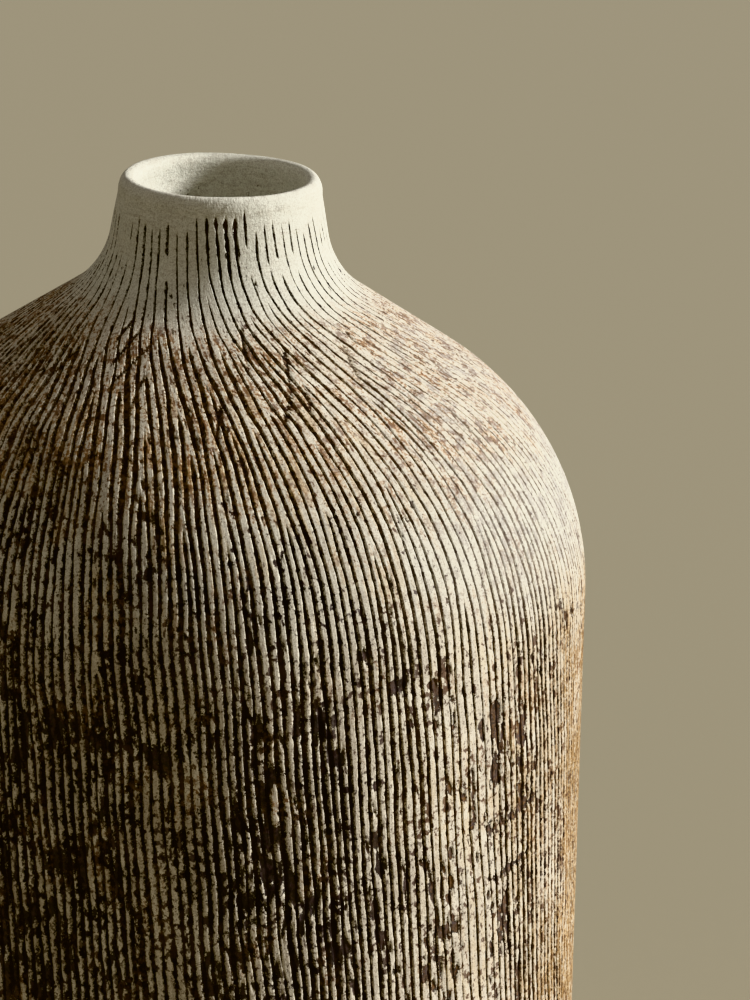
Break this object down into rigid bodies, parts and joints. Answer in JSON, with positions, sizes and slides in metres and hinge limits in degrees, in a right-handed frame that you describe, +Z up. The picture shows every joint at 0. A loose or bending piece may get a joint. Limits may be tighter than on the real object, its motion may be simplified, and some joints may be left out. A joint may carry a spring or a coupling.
{
  "type": "bottle vase",
  "caption": "Large stoneware bottle vase with a cylindrical body, domed shoulder, short flared neck and rounded lip; the whole wall is combed with fine vertical grooves.",
  "frame": {"origin": "centre of the circle the foot ring rests on, at the resting plane", "axes": "+Z up along the axis the vase is turned about; +X to the right and -Y towards the viewer in the front view"},
  "size_m": [0.2273, 0.2274, 0.33],
  "materials": {
    "scored_slip": "matte cream slip, scored through to dark clay",
    "lip_slip": "matte cream slip, brushed",
    "raw_clay": "matte toasted bare stoneware",
    "inner_clay": "matte dark stoneware"
  },
  "bodies": {
    "root": {"foot_ring": "raw_clay", "base_disc": "raw_clay", "base_seam_coil": "inner_clay", "lower_wall": "scored_slip", "lower_seam_coil": "inner_clay", "middle_wall": "scored_slip", "upper_seam_coil": "inner_clay", "upper_wall": "scored_slip", "shoulder_seam_coil": "inner_clay", "shoulder": "scored_slip", "crown_seam_coil": "inner_clay", "crown": "scored_slip", "neck_seam_coil": "inner_clay", "neck": "scored_slip", "rim": "lip_slip"}
  },
  "joints": []
}
